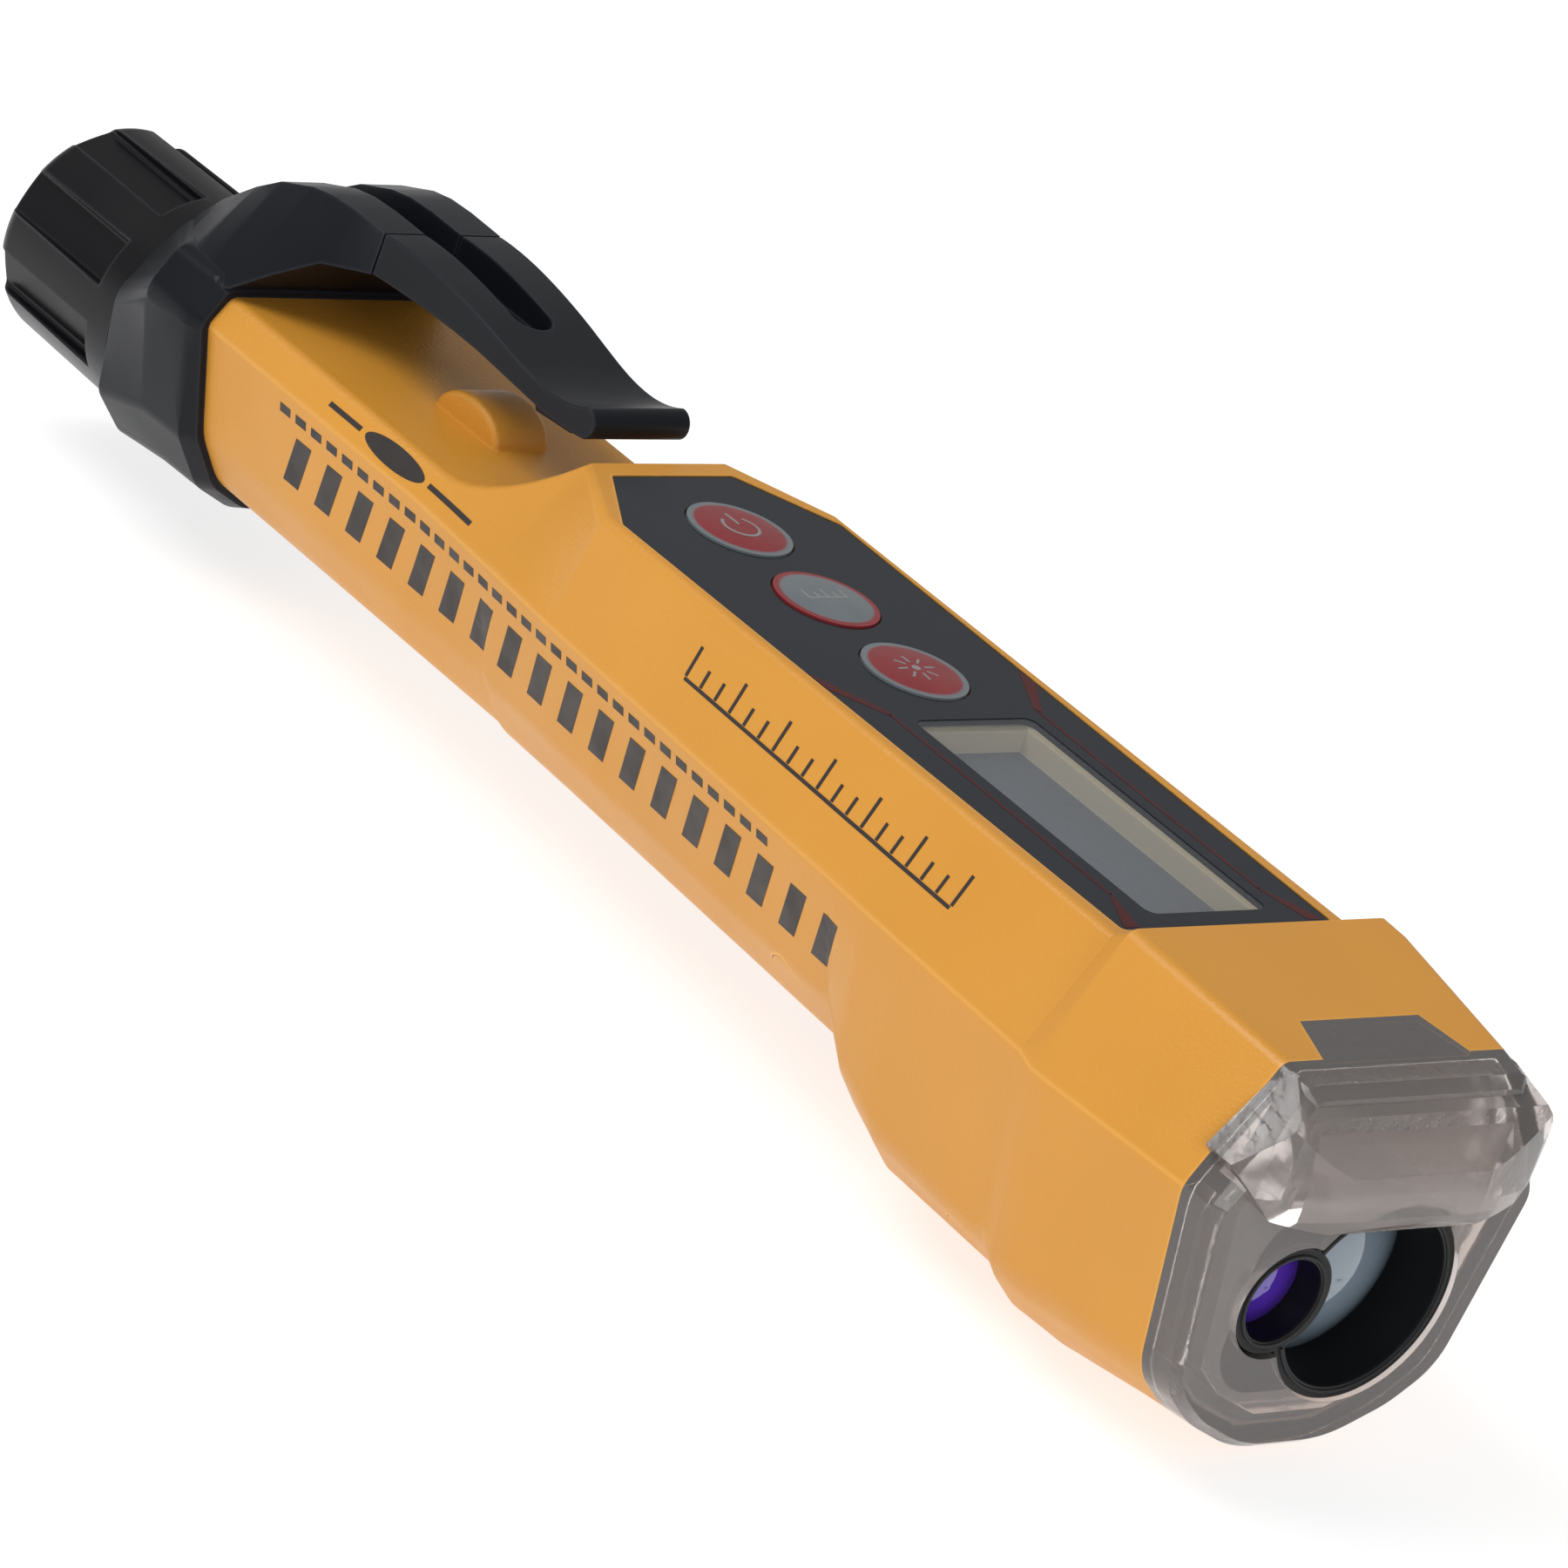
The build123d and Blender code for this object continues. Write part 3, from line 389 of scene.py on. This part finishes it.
# %% [markdown]
# ## Cleaned and edged pieces
# A moulded part never has a knife edge: the mould rounds it, and that thin round is what catches the
# light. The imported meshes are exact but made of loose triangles, so a copy of each visible moulding is
# welded, its flat faces are dissolved back to one face, a fine bevel is laid along its edges, and its
# normals are weighted so that flats stay flat. The copy then stands for the node.


# %% Edged copies
def add_piece(name, mesh):
    piece = bpy.data.objects.new(name, mesh)
    bpy.context.scene.collection.objects.link(piece)
    return piece


def settled(piece):
    """Applies the piece's modifiers to a plain mesh of its own."""
    bpy.context.view_layer.update()
    graph = bpy.context.evaluated_depsgraph_get()
    mesh = bpy.data.meshes.new_from_object(piece.evaluated_get(graph), depsgraph=graph)
    piece.modifiers.clear()
    old, piece.data = piece.data, mesh
    mesh.name = piece.name
    bpy.data.meshes.remove(old)
    return piece


def welded_copy(node, name, flat_angle=0.4):
    mesh = nodes[node].data.copy()
    mesh.materials.clear()
    for layer in list(mesh.uv_layers):
        mesh.uv_layers.remove(layer)
    work = bmesh.new()
    work.from_mesh(mesh)
    bmesh.ops.remove_doubles(work, verts=work.verts, dist=0.002 * mm)
    bmesh.ops.dissolve_degenerate(work, edges=work.edges, dist=0.001 * mm)
    bmesh.ops.dissolve_limit(work, angle_limit=math.radians(flat_angle), verts=work.verts, edges=work.edges)
    work.to_mesh(mesh)
    work.free()
    return add_piece(name, mesh)


def smooth_up_to(mesh, angle):
    for name in ("custom_normal", "sharp_edge", "sharp_face"):
        if name in mesh.attributes:
            mesh.attributes.remove(mesh.attributes[name])
    mesh.polygons.foreach_set("use_smooth", [True] * len(mesh.polygons))
    mesh.set_sharp_from_angle(angle=math.radians(angle))


def edged_copy(node, name, finish, bevel, smooth=32, bevel_angle=28):
    piece = welded_copy(node, name)
    smooth_up_to(piece.data, smooth)
    if bevel:
        edge = piece.modifiers.new("edge", "BEVEL")
        edge.width = bevel
        edge.segments = 2
        edge.limit_method = "ANGLE"
        edge.angle_limit = math.radians(bevel_angle)
        edge.use_clamp_overlap = True
        edge.miter_outer = "MITER_ARC"
    weigh = piece.modifiers.new("weigh", "WEIGHTED_NORMAL")
    weigh.keep_sharp = True
    settled(piece)
    piece.data.materials.append(finish)
    return piece


body_of = {node: body for body, members in frame["record"]["behaviour"]["bodies"].items() for node in members}


def stand_for(piece, node):
    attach(piece, body_of[node])
    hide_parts(node)
    return piece


edged = [
    ("upper_shell", "case_top", yellow, 0.22 * mm),
    ("lower_shell", "case_bottom", yellow, 0.22 * mm),
    ("clip_collar", "collar_ring", black, 0.30 * mm),
    ("pocket_clip", "clip_spring_arm", black, 0.30 * mm),
    ("battery_cap", "screw_cap", cap_black, 0.30 * mm),
    ("clear_tip", "sensing_tip", smoky, 0.18 * mm),
    ("lens_holder", "eye_holder", holder_black, 0.12 * mm),
    ("shell_screws", "case_screws", zinc, 0.06 * mm),
    ("screw_covers", "screw_plugs", yellow, 0.15 * mm),
]
for node, name, finish, bevel in edged:
    piece = stand_for(edged_copy(node, name, finish, bevel), node)
    print(name, len(piece.data.polygons), "faces")

# %% [markdown]
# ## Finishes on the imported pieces
# The other nodes have the right shape already, so they stay and only get their finish.

# %% Finishes on nodes
node_finishes = {
    "emitter_lens": violet, "receiver_lens": receiver_coat, "laser_diode": can_gilt,
    "receiver_sensor": can_gilt, "sensing_antenna": gilt, "tip_light": resin_red, "label_panel": slate,
    "display_window": window_clear, "display_frame": cream, "display_glass": display_grey,
    "display_connector": rubber, "main_board": board_green, "tactile_switches": switch_steel,
    "buzzer": beeper_black, "battery_tube": nylon, "front_contact": gilt, "battery_front": jacket,
    "battery_rear": jacket, "contact_strip": gilt, "cap_seal": rubber, "cap_plate": zinc,
    "cap_spring": spring_wire, **button_finishes}
for node, finish in node_finishes.items():
    nodes[node].data.materials.clear()
    nodes[node].data.materials.append(finish)
print("finished", len(node_finishes), "packed nodes")

# %% [markdown]
# ## Geometry Nodes for rings and threads
# A raised rim round each eye and the thread on the battery tube's neck are each one profile carried
# along one curve. A small tree does that with named inputs, so the same tree makes every ring.


# %% Ring and thread trees
def new_tree(name, inputs):
    tree = bpy.data.node_groups.new(name, "GeometryNodeTree")
    for label, kind, value in inputs:
        socket = tree.interface.new_socket(label, in_out="INPUT", socket_type=kind)
        socket.default_value = value
    tree.interface.new_socket("Geometry", in_out="OUTPUT", socket_type="NodeSocketGeometry")
    return tree, tree.nodes.new("NodeGroupInput"), tree.nodes.new("NodeGroupOutput")


def finish_tree(tree, last, material, given, shown):
    """Turns and moves the shape to its place, realizes it and gives it its material."""
    turn = tree.nodes.new("GeometryNodeTransform")
    turn.inputs["Rotation"].default_value = (math.radians(90), 0, 0)
    smooth = tree.nodes.new("GeometryNodeSetShadeSmooth")
    real = tree.nodes.new("GeometryNodeRealizeInstances")
    paint = tree.nodes.new("GeometryNodeSetMaterial")
    paint.inputs["Material"].default_value = material
    tree.links.new(last, turn.inputs["Geometry"])
    tree.links.new(given.outputs["Place"], turn.inputs["Translation"])
    tree.links.new(turn.outputs["Geometry"], smooth.inputs["Geometry"])
    tree.links.new(smooth.outputs["Geometry"], real.inputs["Geometry"])
    tree.links.new(real.outputs["Geometry"], paint.inputs["Geometry"])
    tree.links.new(paint.outputs["Geometry"], shown.inputs["Geometry"])


def carried(tree, path, given, sides):
    """Carries a round profile along the path."""
    profile = tree.nodes.new("GeometryNodeCurvePrimitiveCircle")
    profile.inputs["Resolution"].default_value = sides
    sweep = tree.nodes.new("GeometryNodeCurveToMesh")
    sweep.inputs["Fill Caps"].default_value = True
    tree.links.new(given.outputs["Thickness"], profile.inputs["Radius"])
    tree.links.new(path, sweep.inputs["Curve"])
    tree.links.new(profile.outputs["Curve"], sweep.inputs["Profile Curve"])
    return sweep.outputs["Mesh"]


def rim_tree(material):
    tree, given, shown = new_tree("rim", [
        ("Radius", "NodeSocketFloat", 0.005), ("Start", "NodeSocketFloat", 0.0),
        ("Sweep", "NodeSocketFloat", 6.0), ("Thickness", "NodeSocketFloat", 0.0002),
        ("Place", "NodeSocketVector", (0, 0, 0))])
    line = tree.nodes.new("GeometryNodeCurveArc")
    line.inputs["Resolution"].default_value = 96
    tree.links.new(given.outputs["Radius"], line.inputs["Radius"])
    tree.links.new(given.outputs["Start"], line.inputs["Start Angle"])
    tree.links.new(given.outputs["Sweep"], line.inputs["Sweep Angle"])
    finish_tree(tree, carried(tree, line.outputs["Curve"], given, 12), material, given, shown)
    return tree


def thread_tree(material):
    tree, given, shown = new_tree("thread", [
        ("Radius", "NodeSocketFloat", 0.008), ("Turns", "NodeSocketFloat", 4.0),
        ("Length", "NodeSocketFloat", 0.01), ("Thickness", "NodeSocketFloat", 0.0003),
        ("Place", "NodeSocketVector", (0, 0, 0))])
    spiral = tree.nodes.new("GeometryNodeCurveSpiral")
    spiral.inputs["Resolution"].default_value = 48
    tree.links.new(given.outputs["Radius"], spiral.inputs["Start Radius"])
    tree.links.new(given.outputs["Radius"], spiral.inputs["End Radius"])
    tree.links.new(given.outputs["Turns"], spiral.inputs["Rotations"])
    tree.links.new(given.outputs["Length"], spiral.inputs["Height"])
    finish_tree(tree, carried(tree, spiral.outputs["Curve"], given, 8), material, given, shown)
    return tree


def grown(name, tree, **sizes):
    """A piece made by a tree, with its inputs set by their identifiers, then made a plain mesh."""
    piece = add_piece(name, bpy.data.meshes.new(name))
    grow = piece.modifiers.new("grow", "NODES")
    grow.node_group = tree
    sockets = {item.name: item.identifier for item in tree.interface.items_tree if item.in_out == "INPUT"}
    for label, value in sizes.items():
        grow[sockets[label]] = value
    return settled(piece)


eye_rim = rim_tree(holder_black)
rim_thickness = 0.16 * mm
emitter_rim_radius = (emitter_high.x - emitter_low.x) / 2 + 0.30 * mm
receiver_rim_radius = receiver_radius + 0.35 * mm
between = emitter_middle - Vector((receiver_middle.x, emitter_middle.y, receiver_middle.z))
towards_emitter = math.atan2(between.z, between.x)
emitter_outer = emitter_rim_radius + 0.7 * mm
half_gap = math.acos((receiver_rim_radius ** 2 + between.length ** 2 - emitter_outer ** 2)
                     / (2 * receiver_rim_radius * between.length))
eyes = [("emitter_rim", emitter_middle, emitter_rim_radius, 0.0, 2 * math.pi),
        ("receiver_rim", receiver_middle, receiver_rim_radius, towards_emitter + half_gap,
         2 * (math.pi - half_gap))]
for name, centre, radius, start, sweep in eyes:
    rim = grown(name, eye_rim, Radius=radius, Start=start, Sweep=sweep, Thickness=rim_thickness,
                Place=(centre.x, holder_low.y, centre.z))
    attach(rim, "root")
    print(name, "radius", round(radius / mm, 2), "mm,", len(rim.data.polygons), "faces")

# %% [markdown]
# ## The thread under the cap
# The cap screws onto a neck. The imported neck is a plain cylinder, so one spiral rib is laid round it.
# The gap to the cap's bore is only a tenth of a millimetre, so the rib is sunk until its crest stands
# about 0.06 mm proud. It is there in the mesh, but it is too low to show except from very close.

# %% Neck thread
thread_pitch = 2.0 * mm
thread_length = 3 * thread_pitch
neck_radius = 8.0 * mm
rib_thickness, rib_sunk, rib_from_end = 0.28 * mm, 0.22 * mm, 1.2 * mm
thread = grown("neck_thread", thread_tree(nylon), Radius=neck_radius - rib_sunk,
               Turns=thread_length / thread_pitch, Length=thread_length, Thickness=rib_thickness,
               Place=(neck_middle.x, neck_high.y - rib_from_end, neck_middle.z))
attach(thread, "root")
print("thread:", len(thread.data.polygons), "faces over", round(thread_length / mm, 1), "mm")

# %% [markdown]
# ## Printed marks
# The panel carries thin crimson trim lines and wedges beside the display. They are ink two hundredths
# of a millimetre thick, cut as flat shapes and laid on the panel. Colour in the material could draw
# them too, but as shapes of their own they keep crisp edges and a finish of their own.


# %% Flat ink on the panel and the buttons
def ink_sheet(name, outlines, finish, height_of, thickness=0.03 * mm, step=0.8 * mm):
    """Flat shapes in X and Y, each point lifted to height_of(x, y), with a real thickness."""
    work = bmesh.new()
    for outline in outlines:
        ring = [work.verts.new((x, y, 0)) for x, y in outline]
        work.faces.new(ring)
    bmesh.ops.triangulate(work, faces=work.faces)
    for _ in range(6):
        long_edges = [e for e in work.edges if e.calc_length() > step]
        if not long_edges:
            break
        bmesh.ops.subdivide_edges(work, edges=long_edges, cuts=1)
        bmesh.ops.triangulate(work, faces=[f for f in work.faces if len(f.verts) > 3])
    for face in work.faces:
        if face.normal.z < 0:
            face.normal_flip()
    for vert in work.verts:
        vert.co.z = height_of(vert.co.x, vert.co.y) + thickness
    mesh = bpy.data.meshes.new(name)
    work.to_mesh(mesh)
    work.free()
    piece = add_piece(name, mesh)
    thick = piece.modifiers.new("thick", "SOLIDIFY")
    thick.thickness = thickness
    thick.offset = -1
    settled(piece)
    piece.data.materials.append(finish)
    return piece


def strip(points, width):
    """The outline of a line of even width through the points."""
    left, right_side = [], []
    for i, point in enumerate(points):
        before = points[max(i - 1, 0)]
        after = points[min(i + 1, len(points) - 1)]
        along = Vector((after[0] - before[0], after[1] - before[1])).normalized() * width / 2
        left.append((point[0] - along.y, point[1] + along.x))
        right_side.append((point[0] + along.y, point[1] - along.x))
    return left + right_side[::-1]


def arc(centre, radius, start, end, count=24):
    """Points on an arc, with its angles in degrees."""
    turns = [math.radians(start + (end - start) * i / count) for i in range(count + 1)]
    return [(centre[0] + radius * math.cos(t), centre[1] + radius * math.sin(t)) for t in turns]


trim_x = window_high.x + 1.6 * mm
panel_edge = panel_high.x - 0.5 * mm
rear_wedge_y, front_wedge_y = middle("laser_button").y, window_low.y - 0.4 * mm
trim_outlines = []
for side in (-1, 1):
    line = [(side * trim_x, window_high.y + 1.0 * mm), (side * trim_x, window_low.y + 3.0 * mm)]
    rear = [(side * panel_edge, rear_wedge_y), (side * panel_edge, rear_wedge_y - 2.4 * mm),
            (side * (trim_x + 0.15 * mm), window_high.y + 0.6 * mm),
            (side * (trim_x - 0.15 * mm), window_high.y + 1.4 * mm)]
    front = [(side * (trim_x - 0.15 * mm), window_low.y + 3.2 * mm),
             (side * (trim_x + 0.15 * mm), window_low.y + 3.0 * mm),
             (side * (panel_edge - 0.6 * mm), front_wedge_y - 1.4 * mm),
             (side * (panel_edge - 2.2 * mm), front_wedge_y - 1.4 * mm)]
    trim_outlines += [strip(line, 0.30 * mm), rear, front]
trim = ink_sheet("panel_trim", trim_outlines, crimson, lambda x, y: panel_high.z, 0.02 * mm)
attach(trim, "root")
print("panel trim:", len(trim_outlines), "shapes")

# %% [markdown]
# ## Signs on the buttons
# Each button carries one small pale sign printed on its dome: a power sign, a scale and a burst of
# light. A flat sign would cut through the dome, so each point of it is lifted to the dome's own
# surface, which is found by a ray dropped from above.


# %% Signs on the buttons
def dome_height(node):
    """The height of a button's dome over any point, from its real surface."""
    tree = BVHTree.FromPolygons([v.co for v in nodes[node].data.vertices],
                                [tuple(p.vertices) for p in nodes[node].data.polygons])
    return lambda x, y: tree.ray_cast(Vector((x, y, 0.05)), Vector((0, 0, -1)))[0].z


def signs(node):
    cx, cy, _ = middle(node)
    if node == "power_button":
        return [strip(arc((cx, cy), 1.6 * mm, -230, 50), 0.28 * mm),
                strip([(cx, cy + 0.3 * mm), (cx, cy + 2.2 * mm)], 0.28 * mm)]
    if node == "unit_button":
        bar = [(cx - 2.0 * mm, cy - 0.2 * mm), (cx + 2.0 * mm, cy - 0.2 * mm)]
        ticks = [[(cx + k * mm, cy - 0.2 * mm), (cx + k * mm, cy + (1.2 if k % 2 == 0 else 0.7) * mm)]
                 for k in (-2, -1, 0, 1, 2)]
        return [strip(line, 0.22 * mm) for line in [bar] + ticks]
    rays = [[(cx + r * math.cos(t), cy + r * math.sin(t)) for r in (0.9 * mm, 1.9 * mm)]
            for t in (math.radians(45 * i) for i in range(8))]
    return [strip(ray, 0.22 * mm) for ray in rays] + [arc((cx, cy), 0.40 * mm, 0, 345, 23)]


for node in button_names:
    sign = ink_sheet(node + "_sign", signs(node), icon_ink, dome_height(node), 0.02 * mm, 0.5 * mm)
    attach(sign, body_of[node])
    print(sign.name, len(sign.data.polygons), "faces")


# %% [markdown]
# ## Marks on the case
# The printed words of such a tool are replaced by plain marks: a range scale with ticks on the upper
# slope, a row of slanted bars on the flank with a thin dashed line above it, and a small badge by the
# clip. Each mark is a flat outline, dropped onto the case point by point so that it follows the slope.
# The repeats come from plain loops.

# %% Ink dropped onto the case
case_points, case_faces = [], []
for shell in ("upper_shell", "lower_shell"):
    start = len(case_points)
    case_points += [v.co.copy() for v in nodes[shell].data.vertices]
    case_faces += [tuple(i + start for i in p.vertices) for p in nodes[shell].data.polygons]
case_surface = BVHTree.FromPolygons(case_points, case_faces)


def case_ink(name, outlines, thickness=0.025 * mm, step=1.2 * mm):
    """Shapes given along the case (Y) and up (Z), laid on its -X side."""
    def depth(y, z):
        hit = case_surface.ray_cast(Vector((-0.06, y, z)), Vector((1, 0, 0)))[0]
        return -hit.x
    piece = ink_sheet(name, outlines, ink, depth, thickness, step)
    turned = Matrix(((0, 0, -1, 0), (1, 0, 0, 0), (0, 1, 0, 0), (0, 0, 0, 1)))
    piece.data.transform(turned)
    piece.data.update()
    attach(piece, "root")
    return piece


def block(y, z, length, height, slant=0.0):
    return [(y, z), (y - length, z), (y - length - slant, z + height), (y - slant, z + height)]


scale_y, scale_z = -12.0 * mm, 29.0 * mm
scale_length, tick_gap = 36.0 * mm, 2.0 * mm
scale_shapes = [block(scale_y, scale_z, scale_length, 0.3 * mm)]
for i in range(round(scale_length / tick_gap) + 1):
    tall = 2.6 * mm if i % 3 == 0 else 1.5 * mm
    scale_shapes.append(block(scale_y - i * tick_gap + 0.15 * mm, scale_z + 0.35 * mm, 0.35 * mm, tall))
range_scale = case_ink("range_scale", scale_shapes)
bar_rear, bar_gap, bar_count, bar_z = 44.0, 4.6, 18, 17.0 * mm
bars = [block((bar_rear - bar_gap * i) * mm, bar_z, 2.2 * mm, 4.6 * mm, 1.6 * mm)
        for i in range(bar_count)]
flank_bars = case_ink("flank_bars", bars)
dash_rear, dash_gap, dash_count, dash_z = 45.0, 2.3, 32, 22.9 * mm
dashes = [block((dash_rear - dash_gap * i) * mm, dash_z, 1.5 * mm, 0.8 * mm) for i in range(dash_count)]
dash_line = case_ink("dash_line", dashes)
badge_middle, badge_half = (30.0 * mm, 26.45 * mm), (4.2 * mm, 0.85 * mm)
badge = [(badge_middle[0] + badge_half[0] * math.cos(t), badge_middle[1] + badge_half[1] * math.sin(t))
         for t in (math.radians(360 * i / 40) for i in range(40))]
badge_lines = [block(badge_middle[0] + 9.5 * mm, badge_middle[1] - 0.2 * mm, 4.6 * mm, 0.4 * mm),
               block(badge_middle[0] - 4.9 * mm, badge_middle[1] - 0.2 * mm, 6.6 * mm, 0.4 * mm)]
badge_mark = case_ink("badge_mark", [badge] + badge_lines)
print(dash_line.name, len(dashes), "dashes;", badge_mark.name, "3 shapes")
print(range_scale.name, len(scale_shapes), "shapes;", flank_bars.name, len(bars), "bars")
